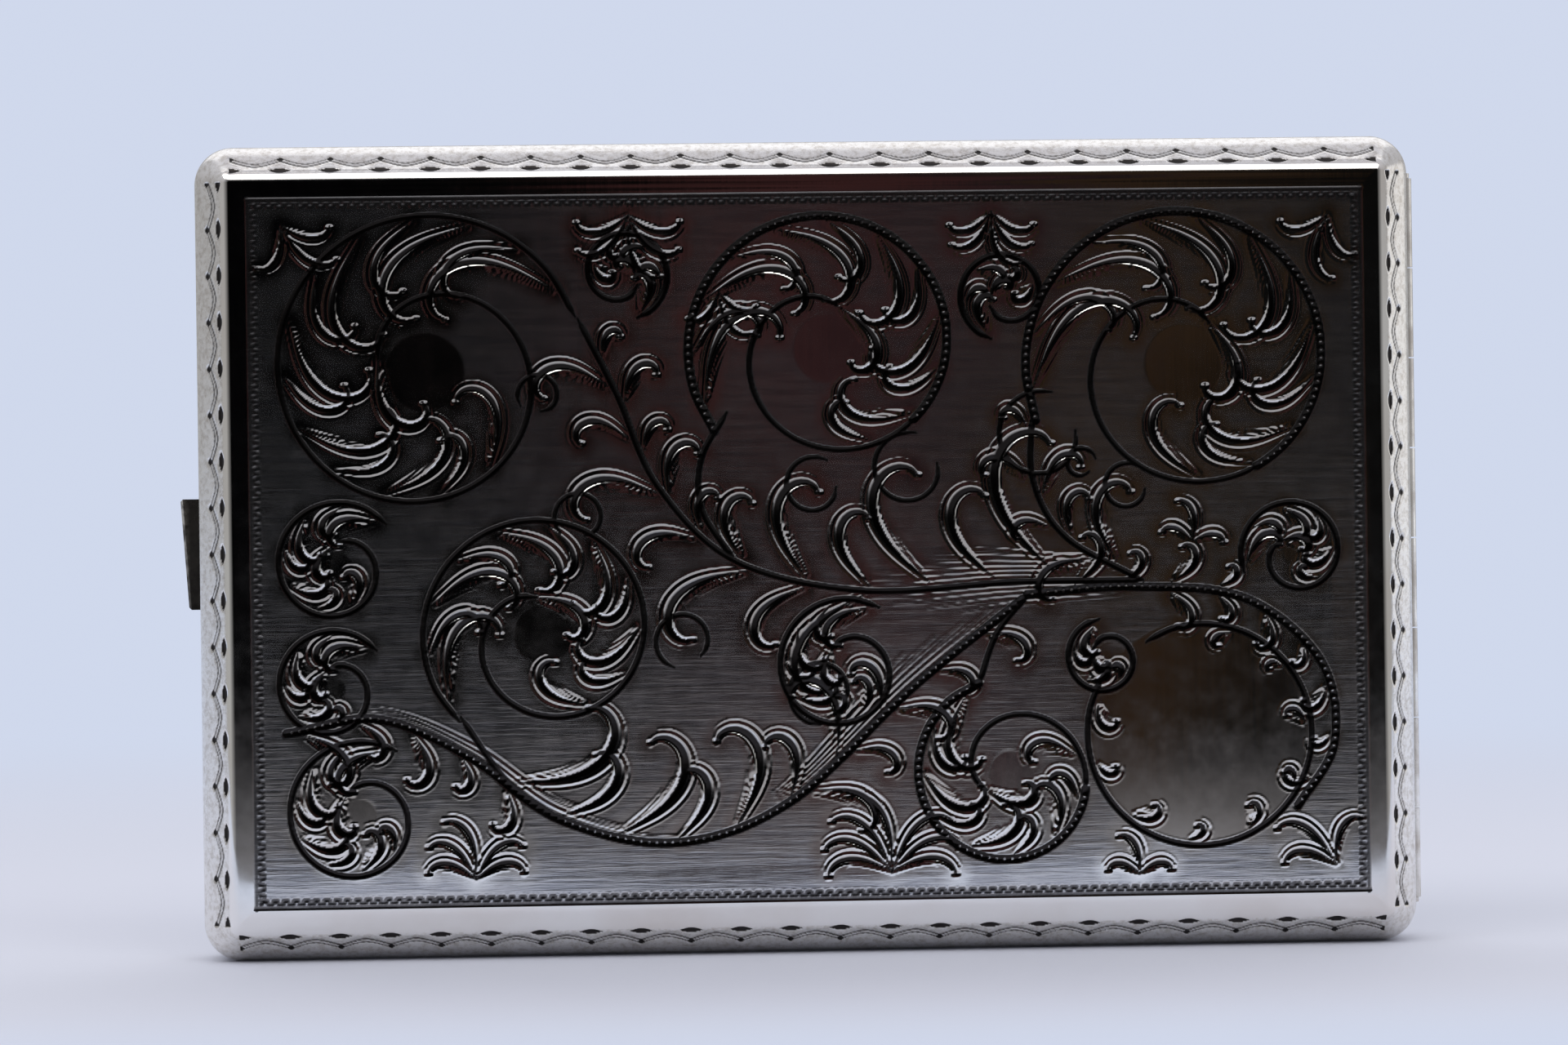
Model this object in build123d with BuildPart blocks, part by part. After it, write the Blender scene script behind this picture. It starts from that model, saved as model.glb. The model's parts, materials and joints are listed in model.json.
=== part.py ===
from build123d import *

import math
import os

# A pressed silver card case: two shallow covers hinged along one short side, shown closed and standing on a
# long side. X runs along the case from the thumb push to the hinge, Y from the front cover to the back cover,
# and Z up. The origin is the bottom centre of the closed case's bounding box. The covers meet at Y = 0.

# Overall form of the closed case
CASE_WIDTH = 96.0
CASE_HEIGHT = 64.0
CASE_THICKNESS = 12.0
CORNER_RADIUS = 3.0
SEAM = 0.1                  # gap between the two halves
SHEET = 0.6                 # thickness of the pressed silver
BEVEL_INSET = 2.45          # how far the flat face's edge stands in from the rim
BEVEL_DEPTH = 3.7           # how much of a cover's depth the bevel takes
RIDGE_RADIUS = 0.8          # radius at the edge of the flat face

# Bezel soldered inside each rim, and the closing lips on the back one
BEZEL_WIDTH = 1.0
BEZEL_DEPTH = 1.1
LIP_THICKNESS = 0.45
LIP_HEIGHT = 0.9
LIP_LENGTH = 80.0
LIP_CLEARANCE = 0.15

# Hinge: eight knuckles on one pin, its axis on the outer face of the rim
KNUCKLE_COUNT = 8
KNUCKLE_PITCH = 7.2
KNUCKLE_GAP = 0.12
KNUCKLE_RADIUS = 0.8
KNUCKLE_SEAT_RADIUS = 0.9
PIN_RADIUS = 0.4
PIN_CLEARANCE = 0.04
PIN_HEAD_RADIUS = 0.62
PIN_HEAD_HEIGHT = 0.35

# Thumb push and catch, in the back half beside the short wall that faces the hinge
PUSH_LENGTH = 8.8
PUSH_OUT_TOP = 1.8          # how far the push stands out of the rim at its upper end
PUSH_OUT_BOTTOM = 1.2
PUSH_THICKNESS = 2.0
PUSH_CHAMFER = 0.2
PUSH_NEAR = 1.4             # distance of the push's front face behind the seam
SLOT_SIDE_CLEARANCE = 0.15
SLOT_END_CLEARANCE = 0.3
SPRING_THICKNESS = 0.3
SPRING_STANDOFF = 1.3       # from the wall's inner face to the spring
SPRING_NEAR = 1.45
SPRING_FAR = 3.55
PIVOT_BELOW = 12.0          # where the spring bends, below the middle of the push
SPRING_ABOVE = 8.4
TOOTH_ABOVE = 7.2           # middle of the tooth, above the middle of the push
TOOTH_WIDTH = 2.4
TOOTH_LENGTH = 2.1          # how far the tooth reaches past the seam into the front half
TOOTH_HOOK = 0.55
TOOTH_THICKNESS = 0.4
KEEPER_WIDTH = 3.0
KEEPER_THICKNESS = 0.4
KEEPER_REACH = 1.15
ANCHOR_LENGTH = 4.0
RIVET_RADIUS = 0.35
RIVET_CLEARANCE = 0.05
RIVET_HEAD_RADIUS = 0.6
RIVET_HEAD_HEIGHT = 0.25
RIVET_SPACING = 1.9
RIVET_SHANK = 0.9           # length of a rivet inside the anchor or the push
RIVET_HOLE = 4.0            # length of the tool that drills the spring, well over its thickness
GUARD_STANDOFF = 3.3
GUARD_THICKNESS = 0.3
GUARD_BELOW = 17.0
GUARD_ABOVE = 10.0

# Elastic card strap and the folded clips that hold its ends
STRAP_WIDTH = 9.0
STRAP_THICKNESS = 0.5
STRAP_BEHIND_SEAM = 0.45
CLIP_SHEET = 0.3
CLIP_LENGTH = 10.4
CLIP_REACH = 2.2            # how far a clip reaches over the strap
STRAP_IN_CLIP = 1.6

# Sizes that follow from those above
HALF_DEPTH = CASE_THICKNESS / 2
# The push stands out on one side and the knuckles on the other: this shift centres the whole.
CASE_X = (PUSH_OUT_TOP - KNUCKLE_RADIUS) / 2
MID_Z = CASE_HEIGHT / 2
LEFT = CASE_X - CASE_WIDTH / 2
RIGHT = CASE_X + CASE_WIDTH / 2
INNER_LEFT = LEFT + SHEET
SEAT = SEAM / 2             # where each half starts, from the plane Y = 0
STRAIGHT_WALL = HALF_DEPTH - BEVEL_DEPTH
BACK_BEZEL_WIDTH = BEZEL_WIDTH + LIP_CLEARANCE + LIP_THICKNESS
BEZEL_FAR = SEAT + BEZEL_DEPTH
HINGE_BOTTOM = MID_Z - KNUCKLE_COUNT * KNUCKLE_PITCH / 2
SPRING_X = INNER_LEFT + SPRING_STANDOFF
PIVOT_Z = MID_Z - PIVOT_BELOW
TOOTH_Z = MID_Z + TOOTH_ABOVE

# A front cover is drawn on planes that face -Y, so positive amounts go from the seam to the front.
FRONT_FACING = Plane.XZ
UP_THE_HINGE = Plane(origin=(RIGHT, 0, 0), x_dir=(1, 0, 0), z_dir=(0, 0, 1))


def block(low, high, mode=Mode.ADD):
    """A plain block between two corners."""
    with Locations(tuple((a + b) / 2 for a, b in zip(low, high))):
        Box(*(b - a for a, b in zip(low, high)), mode=mode)


def outline(plane, inset):
    """The case's rounded outline, drawn in by inset, on one of the planes that face the front."""
    with BuildSketch(plane) as sketch:
        with Locations((CASE_X, MID_Z)):
            RectangleRounded(CASE_WIDTH - 2 * inset, CASE_HEIGHT - 2 * inset, CORNER_RADIUS - inset)
    return sketch.sketch


def cover_form(wall):
    """A front cover's outer form, or with a wall thickness its cavity, as one solid."""
    slope = math.atan2(BEVEL_INSET, BEVEL_DEPTH)
    straight = STRAIGHT_WALL - wall * math.tan(slope / 2)
    depth = HALF_DEPTH - wall
    face_inset = wall + (depth - straight) * math.tan(slope)
    with BuildPart() as form:
        extrude(outline(FRONT_FACING.offset(SEAT), wall), amount=straight - SEAT)
        loft([
            outline(FRONT_FACING.offset(straight), wall),
            outline(FRONT_FACING.offset(depth), face_inset),
        ])
    return form.part


def hinge_seat():
    """Cut away the room that the knuckles and the pin's heads take out of a cover or bezel."""
    length = KNUCKLE_COUNT * KNUCKLE_PITCH + 2 * (PIN_HEAD_HEIGHT + KNUCKLE_GAP)
    with Locations((RIGHT, 0, MID_Z)):
        Cylinder(KNUCKLE_SEAT_RADIUS, length, mode=Mode.SUBTRACT)


def anchor_rivet_places(x):
    """The middles of the two rivets that hold the spring to its anchor."""
    middle = PIVOT_Z - ANCHOR_LENGTH / 2
    y = (SPRING_NEAR + SPRING_FAR) / 2
    return [(x, y, middle - RIVET_SPACING / 2), (x, y, middle + RIVET_SPACING / 2)]


def push_rivet_place(x):
    """The middle of the rivet that holds the push to the spring."""
    return (x, PUSH_NEAR + PUSH_THICKNESS / 2, MID_Z)


def rivet(shank):
    """A rivet whose head lies on the spring's inner face, with a shank of this length behind it."""
    align = (Align.CENTER, Align.CENTER, Align.MIN)
    with Locations((SPRING_THICKNESS, 0, 0)):
        Cylinder(RIVET_HEAD_RADIUS, RIVET_HEAD_HEIGHT, rotation=(0, 90, 0), align=align)
        Cylinder(RIVET_RADIUS, shank, rotation=(0, -90, 0), align=align)


def export(part, name):
    """Label a finished piece and write it."""
    part.label = name
    export_step(part, f"parts/{name}.step")


os.makedirs("parts", exist_ok=True)

# Pressed covers ----------------------------------------------------------------------------------------

front_form = cover_form(0)
front_cavity = cover_form(SHEET)
back_form = mirror(front_form, about=Plane.XZ)
back_cavity = mirror(front_cavity, about=Plane.XZ)

with BuildPart() as front_shell:
    add(front_form)
    fillet(front_shell.faces().sort_by(Axis.Y)[0].edges(), RIDGE_RADIUS)
    add(front_cavity, mode=Mode.SUBTRACT)
    hinge_seat()
export(front_shell.part, "front_shell")

with BuildPart() as back_shell:
    add(back_form)
    fillet(back_shell.faces().sort_by(Axis.Y)[-1].edges(), RIDGE_RADIUS)
    add(back_cavity, mode=Mode.SUBTRACT)
    hinge_seat()
    block(
        (LEFT - 1, PUSH_NEAR - SLOT_SIDE_CLEARANCE, MID_Z - PUSH_LENGTH / 2 - SLOT_END_CLEARANCE),
        (INNER_LEFT + 1, PUSH_NEAR + PUSH_THICKNESS + SLOT_SIDE_CLEARANCE,
         MID_Z + PUSH_LENGTH / 2 + SLOT_END_CLEARANCE),
        mode=Mode.SUBTRACT,
    )
export(back_shell.part, "back_shell")

# Bezels and closing lips -------------------------------------------------------------------------------

with BuildPart() as front_bezel:
    extrude(outline(FRONT_FACING.offset(SEAT), SHEET), amount=BEZEL_DEPTH)
    extrude(outline(FRONT_FACING.offset(SEAT), SHEET + BEZEL_WIDTH), amount=BEZEL_DEPTH, mode=Mode.SUBTRACT)
    hinge_seat()
export(front_bezel.part, "front_bezel")

with BuildPart() as back_bezel:
    extrude(outline(FRONT_FACING.offset(-SEAT), SHEET), amount=-BEZEL_DEPTH)
    extrude(outline(FRONT_FACING.offset(-SEAT), SHEET + BACK_BEZEL_WIDTH), amount=-BEZEL_DEPTH,
            mode=Mode.SUBTRACT)
    hinge_seat()
    block(
        (SPRING_X - SLOT_SIDE_CLEARANCE, 0, TOOTH_Z - TOOTH_WIDTH / 2 - SLOT_END_CLEARANCE),
        (INNER_LEFT + BACK_BEZEL_WIDTH + 1, BEZEL_FAR + 1, TOOTH_Z + TOOTH_WIDTH / 2 + SLOT_END_CLEARANCE),
        mode=Mode.SUBTRACT,
    )
export(back_bezel.part, "back_bezel")

LIP_OUTER = MID_Z - SHEET - BEZEL_WIDTH - LIP_CLEARANCE      # from the case's middle
for side, name in ((1, "closing_lip_upper"), (-1, "closing_lip_lower")):
    edges = sorted((MID_Z + side * LIP_OUTER, MID_Z + side * (LIP_OUTER - LIP_THICKNESS)))
    with BuildPart() as lip:
        block((CASE_X - LIP_LENGTH / 2, SEAT - LIP_HEIGHT, edges[0]),
              (CASE_X + LIP_LENGTH / 2, SEAT, edges[1]))
        chamfer(lip.edges().filter_by(Axis.X).group_by(Axis.Y)[0], LIP_THICKNESS / 4)
    export(lip.part, name)

# Hinge -------------------------------------------------------------------------------------------------

with BuildPart() as hinge_pin:
    with BuildSketch(UP_THE_HINGE.offset(HINGE_BOTTOM)):
        Circle(PIN_RADIUS)
    extrude(amount=KNUCKLE_COUNT * KNUCKLE_PITCH)
    with BuildSketch(UP_THE_HINGE.offset(HINGE_BOTTOM - PIN_HEAD_HEIGHT)):
        Circle(PIN_HEAD_RADIUS)
    extrude(amount=PIN_HEAD_HEIGHT)
    with BuildSketch(UP_THE_HINGE.offset(HINGE_BOTTOM + KNUCKLE_COUNT * KNUCKLE_PITCH)):
        Circle(PIN_HEAD_RADIUS)
    extrude(amount=PIN_HEAD_HEIGHT)
export(hinge_pin.part, "hinge_pin")

for number in range(KNUCKLE_COUNT):
    front = number % 2 == 0
    bottom = HINGE_BOTTOM + number * KNUCKLE_PITCH + KNUCKLE_GAP / 2
    near, far = (-KNUCKLE_SEAT_RADIUS, -SEAT) if front else (SEAT, KNUCKLE_SEAT_RADIUS)
    with BuildPart() as knuckle:
        # The tube, and the solder web that fills its own cover's seat round it
        with BuildSketch(UP_THE_HINGE.offset(bottom)):
            Circle(KNUCKLE_SEAT_RADIUS)
            with Locations((-KNUCKLE_SEAT_RADIUS / 2, (near + far) / 2)):
                Rectangle(KNUCKLE_SEAT_RADIUS, far - near, mode=Mode.INTERSECT)
            Circle(KNUCKLE_RADIUS)
            Circle(PIN_RADIUS + PIN_CLEARANCE, mode=Mode.SUBTRACT)
        extrude(amount=KNUCKLE_PITCH - KNUCKLE_GAP)
    export(knuckle.part, f"{'front' if front else 'back'}_hinge_knuckle_{number // 2 + 1}")

# Thumb push and catch ----------------------------------------------------------------------------------

with BuildPart() as catch_spring:
    # Leaf, with a tooth bent out of it that hooks under the front cover's keeper
    block((SPRING_X, SPRING_NEAR, PIVOT_Z - ANCHOR_LENGTH),
          (SPRING_X + SPRING_THICKNESS, SPRING_FAR, MID_Z + SPRING_ABOVE))
    block((SPRING_X, -TOOTH_LENGTH, TOOTH_Z - TOOTH_WIDTH / 2),
          (SPRING_X + SPRING_THICKNESS, SPRING_NEAR, TOOTH_Z + TOOTH_WIDTH / 2))
    block((SPRING_X - TOOTH_HOOK, -TOOTH_LENGTH, TOOTH_Z - TOOTH_WIDTH / 2),
          (SPRING_X, TOOTH_THICKNESS - TOOTH_LENGTH, TOOTH_Z + TOOTH_WIDTH / 2))
    with Locations(*anchor_rivet_places(SPRING_X)):
        Cylinder(RIVET_RADIUS + RIVET_CLEARANCE, RIVET_HOLE, rotation=(0, 90, 0), mode=Mode.SUBTRACT)
    with Locations(push_rivet_place(SPRING_X)):
        Cylinder(RIVET_RADIUS, RIVET_HOLE, rotation=(0, 90, 0), mode=Mode.SUBTRACT)
export(catch_spring.part, "catch_spring")

with BuildPart() as spring_anchor:
    block((INNER_LEFT, SPRING_NEAR, PIVOT_Z - ANCHOR_LENGTH), (SPRING_X, SPRING_FAR, PIVOT_Z))
    add(back_cavity, mode=Mode.INTERSECT)
    with Locations(*anchor_rivet_places(SPRING_X)):
        Cylinder(RIVET_RADIUS, 2 * RIVET_SHANK, rotation=(0, 90, 0), mode=Mode.SUBTRACT)
export(spring_anchor.part, "spring_anchor")

with BuildPart() as spring_rivets:
    with Locations(*anchor_rivet_places(SPRING_X)):
        rivet(RIVET_SHANK + SPRING_THICKNESS)
export(spring_rivets.part, "spring_rivets")

with BuildPart() as push_piece:
    # Its outer end slopes, standing out further at the top
    with BuildSketch(FRONT_FACING.offset(-PUSH_NEAR)):
        with BuildLine():
            Polyline(
                (SPRING_X, MID_Z - PUSH_LENGTH / 2),
                (SPRING_X, MID_Z + PUSH_LENGTH / 2),
                (LEFT - PUSH_OUT_TOP, MID_Z + PUSH_LENGTH / 2),
                (LEFT - PUSH_OUT_BOTTOM, MID_Z - PUSH_LENGTH / 2),
                close=True,
            )
        make_face()
    extrude(amount=-PUSH_THICKNESS)
    chamfer(push_piece.faces().sort_by(Axis.X)[0].edges(), PUSH_CHAMFER)
    with Locations(push_rivet_place(SPRING_X)):
        Cylinder(RIVET_RADIUS, 2 * RIVET_SHANK, rotation=(0, 90, 0), mode=Mode.SUBTRACT)
export(push_piece.part, "push_piece")

with BuildPart() as push_rivet:
    with Locations(push_rivet_place(SPRING_X)):
        rivet(RIVET_SHANK + SPRING_THICKNESS)
export(push_rivet.part, "push_rivet")

with BuildPart() as keeper:
    block((INNER_LEFT, -BEZEL_FAR - KEEPER_THICKNESS, TOOTH_Z - KEEPER_WIDTH / 2),
          (INNER_LEFT + KEEPER_REACH, -BEZEL_FAR, TOOTH_Z + KEEPER_WIDTH / 2))
    chamfer(keeper.edges().filter_by(Axis.Z).sort_by(Axis.X)[-1], KEEPER_THICKNESS / 2)
export(keeper.part, "keeper")

with BuildPart() as catch_guard:
    # A folded plate that keeps the cards off the spring: one long side and two short ends
    block((INNER_LEFT, BEZEL_FAR, MID_Z - GUARD_BELOW),
          (INNER_LEFT + GUARD_STANDOFF + GUARD_THICKNESS, HALF_DEPTH - SHEET, MID_Z + GUARD_ABOVE))
    block((INNER_LEFT, BEZEL_FAR, MID_Z - GUARD_BELOW + GUARD_THICKNESS),
          (INNER_LEFT + GUARD_STANDOFF, HALF_DEPTH - SHEET, MID_Z + GUARD_ABOVE - GUARD_THICKNESS),
          mode=Mode.SUBTRACT)
    add(back_cavity, mode=Mode.INTERSECT)
export(catch_guard.part, "catch_guard")

# Card strap --------------------------------------------------------------------------------------------

BEZEL_EDGE = MID_Z - SHEET - BACK_BEZEL_WIDTH               # from the case's middle
CLIP_MOUTH = BEZEL_EDGE - CLIP_REACH
STRAP_END = CLIP_MOUTH + STRAP_IN_CLIP

for side, name in ((1, "strap_clip_upper"), (-1, "strap_clip_lower")):
    outer = sorted((MID_Z + side * CLIP_MOUTH, MID_Z + side * BEZEL_EDGE))
    inner = sorted((MID_Z + side * CLIP_MOUTH, MID_Z + side * (BEZEL_EDGE - CLIP_SHEET)))
    with BuildPart() as clip:
        block((CASE_X - CLIP_LENGTH / 2, STRAP_BEHIND_SEAM - CLIP_SHEET, outer[0]),
              (CASE_X + CLIP_LENGTH / 2, STRAP_BEHIND_SEAM + STRAP_THICKNESS + CLIP_SHEET, outer[1]))
        fold = clip.edges().filter_by(Axis.X).group_by(Axis.Z)[-1 if side > 0 else 0]
        fillet(fold, CLIP_SHEET * 0.9)
        block((CASE_X - CLIP_LENGTH / 2, STRAP_BEHIND_SEAM, inner[0]),
              (CASE_X + CLIP_LENGTH / 2, STRAP_BEHIND_SEAM + STRAP_THICKNESS, inner[1]), mode=Mode.SUBTRACT)
    export(clip.part, name)

with BuildPart() as card_strap:
    block((CASE_X - STRAP_WIDTH / 2, STRAP_BEHIND_SEAM, MID_Z - STRAP_END),
          (CASE_X + STRAP_WIDTH / 2, STRAP_BEHIND_SEAM + STRAP_THICKNESS, MID_Z + STRAP_END))
export(card_strap.part, "card_strap")
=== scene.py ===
"""The looks of an engraved silver card case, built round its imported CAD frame."""

import json
import math

import bpy
import numpy as np
from mathutils import Matrix, Vector


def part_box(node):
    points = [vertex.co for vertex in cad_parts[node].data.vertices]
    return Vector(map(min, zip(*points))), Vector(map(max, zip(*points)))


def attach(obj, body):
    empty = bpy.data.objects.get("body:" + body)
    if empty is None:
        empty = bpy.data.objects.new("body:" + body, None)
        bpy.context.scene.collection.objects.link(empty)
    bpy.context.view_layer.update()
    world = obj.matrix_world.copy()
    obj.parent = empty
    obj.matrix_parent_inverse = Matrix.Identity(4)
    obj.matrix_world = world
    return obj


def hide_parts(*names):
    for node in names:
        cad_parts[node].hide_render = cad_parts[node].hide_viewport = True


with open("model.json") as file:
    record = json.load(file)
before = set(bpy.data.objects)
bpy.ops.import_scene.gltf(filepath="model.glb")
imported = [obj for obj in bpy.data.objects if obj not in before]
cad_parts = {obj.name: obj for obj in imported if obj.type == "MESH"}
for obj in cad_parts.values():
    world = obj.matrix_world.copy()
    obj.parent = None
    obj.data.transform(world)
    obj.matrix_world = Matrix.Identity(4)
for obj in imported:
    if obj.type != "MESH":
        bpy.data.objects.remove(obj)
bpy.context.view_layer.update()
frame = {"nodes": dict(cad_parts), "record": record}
scene = bpy.context.scene

MM = 0.001

# The cover's shape, in millimetres, as the CAD model has it
RIM_RADIUS = 3.0            # plan radius of the rim's corners, and the inset where the flat face begins
SHEET = 0.6
BEVEL_START = 2.3           # depth from the seam where the straight wall ends
RIDGE_INSET = 2.45
EDGE_RUN = 1.1              # the face rounds over towards its edge from this far in
EDGE_FALL = 0.11
PROUD = 0.035               # the most that burrs and the sheet's wave stand above the flat face

shell_low, shell_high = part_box("front_shell")
CASE_X = (shell_low.x + shell_high.x) / 2 / MM
CASE_Z = (shell_low.z + shell_high.z) / 2 / MM
HALF_W = (shell_high.x - shell_low.x) / 2 / MM
HALF_H = (shell_high.z - shell_low.z) / 2 / MM
DEPTH = -shell_low.y / MM
SEAT = -shell_high.y / MM
FACE_W = HALF_W - RIM_RADIUS
FACE_H = HALF_H - RIM_RADIUS

# Mesh density: each coarse cell inside a cover meets FINE cells outside it
FINE = 8
COARSE_X = 100
COARSE_Z = 62
COARSE_CORNER = 3


# ---------------------------------------------------------------------------------------------- relief

class Relief:
    """Depths and finishes of the engraving on a flat face, on a grid in millimetres from its centre."""

    def __init__(self, half_w, half_h, cells_x, cells_z):
        self.x = np.linspace(-half_w, half_w, cells_x + 1)
        self.z = np.linspace(-half_h, half_h, cells_z + 1)
        self.step_x = self.x[1] - self.x[0]
        self.step_z = self.z[1] - self.z[0]
        shape = (cells_z + 1, cells_x + 1)
        self.cut = np.zeros(shape)
        self.burr = np.zeros(shape)
        # darkening in the cuts: patina, and painted shade on the shallow wall of each leaning cut
        self.dark = np.zeros(shape)
        self.plain = np.zeros(shape)     # polished, unhatched metal

    def patch(self, points, reach):
        """Grid cells near each point: their indices, and their offsets from the point."""
        rx = int(math.ceil(reach / self.step_x))
        rz = int(math.ceil(reach / self.step_z))
        column = np.round((points[:, 0] - self.x[0]) / self.step_x).astype(int)
        row = np.round((points[:, 1] - self.z[0]) / self.step_z).astype(int)
        dx, dz = np.meshgrid(np.arange(-rx, rx + 1), np.arange(-rz, rz + 1))
        columns = column[:, None] + dx.ravel()[None]
        rows = row[:, None] + dz.ravel()[None]
        inside = (columns >= 0) & (columns < len(self.x)) & (rows >= 0) & (rows < len(self.z))
        columns = np.clip(columns, 0, len(self.x) - 1)
        rows = np.clip(rows, 0, len(self.z) - 1)
        off_x = self.x[columns] - points[:, 0:1]
        off_z = self.z[rows] - points[:, 1:2]
        return rows, columns, off_x, off_z, inside

    def groove(self, path, widths, depth, lean=0.0, burr=0.012, dark=1.0):
        """Cut a V groove along a path. lean moves its deepest line to the left (+) or right (-)."""
        tangent = np.gradient(path, axis=0)
        tangent /= np.linalg.norm(tangent, axis=1)[:, None] + 1e-9
        half = np.maximum(widths, 0.02)[:, None] / 2
        rim = 0.16
        rows, columns, off_x, off_z, inside = self.patch(path, widths.max() / 2 + rim)
        along = off_x * tangent[:, 0:1] + off_z * tangent[:, 1:2]
        across = -off_x * tangent[:, 1:2] + off_z * tangent[:, 0:1]
        round_end = np.hypot(along, across) <= half + rim
        near = inside & ((np.abs(along) < 0.09) & (np.abs(across) <= half + rim) | round_end)
        side = across / half
        deepest = lean
        left = (1 - side) / (1 - deepest)
        right = (1 + side) / (1 + deepest)
        profile = np.clip(np.minimum(left, right), 0, 1)
        fade = np.clip(1 - np.abs(along) / (half + 0.09), 0, 1) ** 0.5
        cut = -depth * (half * 2 / max(widths.max(), 0.02)) * profile * fade
        near_cut = near & (np.abs(side) < 1)
        np.minimum.at(self.cut, (rows[near_cut], columns[near_cut]), cut[near_cut])
        # Patina fills the cut; on a leaning cut the shallow wall is also painted darker than the steep, lit
        # wall, as painted shade.
        lit = left < right if lean > 0 else right < left
        patina_and_shade = dark * np.clip(profile * 2.2, 0, 1) * np.where(lit & (lean != 0), 0.22, 1.0)
        if lean == 0:
            patina_and_shade = dark * np.clip((half + 0.13 - np.abs(across)) / 0.1, 0, 1)
            near_cut = near & (np.abs(across) < half + 0.13)
        np.maximum.at(self.dark, (rows[near_cut], columns[near_cut]), patina_and_shade[near_cut])
        edge = burr * np.sin(np.pi * np.clip((np.abs(across) - half) / rim, 0, 1))
        near_rim = near & (np.abs(side) >= 1)
        np.maximum.at(self.burr, (rows[near_rim], columns[near_rim]), edge[near_rim])

    def polish(self, centre, radius):
        """Leave a round field plain and bright."""
        off = np.hypot(self.x[None, :] - centre[0], self.z[:, None] - centre[1])
        self.plain = np.maximum(self.plain, np.clip((radius - off) / 0.25, 0, 1))

    def bare(self, path, reach):
        """Leave the metal on both sides of a path plain, as the leaf that a stroke lies on is."""
        rows, columns, off_x, off_z, inside = self.patch(path[::6], reach)
        field = np.clip((reach - np.hypot(off_x, off_z)) / reach * 1.5, 0, 1)
        np.maximum.at(self.plain, (rows[inside], columns[inside]), field[inside])

    def height(self):
        """The finished surface, as heights above the flat face."""
        return np.where(self.cut < -1e-4, self.cut, self.burr)


def spline(points, step=0.05):
    """A smooth curve through points, as evenly spaced samples."""
    p = np.array(points, float)
    p = np.vstack([2 * p[0] - p[1], p, 2 * p[-1] - p[-2]])
    out = []
    for a, b, c, d in zip(p[:-3], p[1:-2], p[2:-1], p[3:]):
        count = max(2, int(np.linalg.norm(c - b) / step))
        t = np.linspace(0, 1, count, endpoint=False)[:, None]
        out.append(0.5 * (2 * b + (c - a) * t + (2 * a - 5 * b + 4 * c - d) * t ** 2
                          + (3 * b - a - 3 * c + d) * t ** 3))
    return np.vstack(out + [p[-2:-1]])


def offset_path(path, distance):
    """A path moved sideways: to its left for a positive distance."""
    tangent = np.gradient(path, axis=0)
    tangent /= np.linalg.norm(tangent, axis=1)[:, None] + 1e-9
    normal = np.stack([-tangent[:, 1], tangent[:, 0]], 1)
    return path + normal * np.reshape(distance, (-1, 1))


def turning(path):
    """+1 where a path's last half bends to the left, -1 to the right."""
    tail = path[len(path) // 2:]
    step = np.diff(tail, axis=0)
    cross = step[:-1, 0] * step[1:, 1] - step[:-1, 1] * step[1:, 0]
    return 1.0 if cross.sum() >= 0 else -1.0


def swell(count, root=0.1, peak=0.66, head=0.3):
    """How a comma's width changes from its root to its head, as a share of its full width."""
    u = np.linspace(0, 1, count)
    rise = np.clip(u / peak, 0, 1)
    fall = np.clip((u - peak) / (1 - peak), 0, 1)
    return root + (1 - root) * np.sin(rise * np.pi / 2) ** 1.4 - (1 - head) * fall ** 1.5


def comma(relief, points, width=0.8, roots=3):
    """A bright-cut scroll stroke, drawn from its root to its hooked head, with its outline and root lines."""
    path = spline(points)
    bend = turning(path)
    width *= 0.86
    profile = width * swell(len(path))
    relief.bare(path, 1.6)
    relief.groove(path, profile, 0.17 * width ** 0.5, lean=0.7 * bend, burr=0.005)
    head = path[-1:]
    relief.groove(np.repeat(head, 2, 0) + [[0, 0], [0.01, 0]], np.full(2, 0.34), 0.1, dark=0.2)
    last = int(len(path) * 0.93)
    outline = offset_path(path, -bend * (0.3 + 0.6 * profile))[:last]
    taper = np.sin(np.linspace(0.35, np.pi - 0.5, last))
    relief.groove(outline, 0.2 * taper, 0.042, dark=0.12, burr=0.006)
    for number in range(roots):
        length = int(len(path) * (0.66 - 0.13 * number))
        if length > 12:
            gap = 0.3 + 0.24 * number
            spread = np.linspace(0.3, 1, length) * gap + 0.3 * profile[:length]
            strand = offset_path(path[:length], bend * spread)
            taper = np.sin(np.linspace(0.2, np.pi, length))
            relief.groove(strand, 0.13 * taper, 0.038, dark=0.06, burr=0.006)


def line(relief, points, width=0.22):
    """An engraved line tapering at both ends: a dark stem if it is wide, a bright strand if it is thin."""
    path = spline(points)
    stem = width >= 0.24
    taper = np.clip(np.minimum(np.arange(len(path)), np.arange(len(path))[::-1]) / 18, 0.25, 1)
    relief.groove(path, width * taper, 0.045, dark=0.95 if stem else 0.08, burr=0.003 if stem else 0.008)


def beaded(relief, points, width=0.34, pitch=0.62):
    """A dark stem line filled with a row of beads."""
    path = spline(points)
    relief.groove(path, np.full(len(path), width + 0.2), 0.09, dark=1.0, burr=0.0)
    gaps = np.linalg.norm(np.diff(path, axis=0), axis=1)
    run = np.concatenate([[0], np.cumsum(gaps)])
    marks = np.arange(pitch / 2, run[-1], pitch)
    beads = np.stack([np.interp(marks, run, path[:, 0]), np.interp(marks, run, path[:, 1])], 1)
    rows, columns, off_x, off_z, inside = relief.patch(beads, 0.3)
    dome = np.clip(1 - (np.hypot(off_x, off_z) / 0.17) ** 2, 0, 1)
    hit = inside & (dome > 0)
    crown = np.zeros_like(relief.cut)
    np.maximum.at(crown, (rows[hit], columns[hit]), dome[hit])
    relief.cut = relief.cut + 0.06 * np.sqrt(crown) * (relief.cut < -0.02)
    relief.dark = relief.dark * (1 - 0.8 * crown)


# ------------------------------------------------------------------------------- cover mesh

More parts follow.
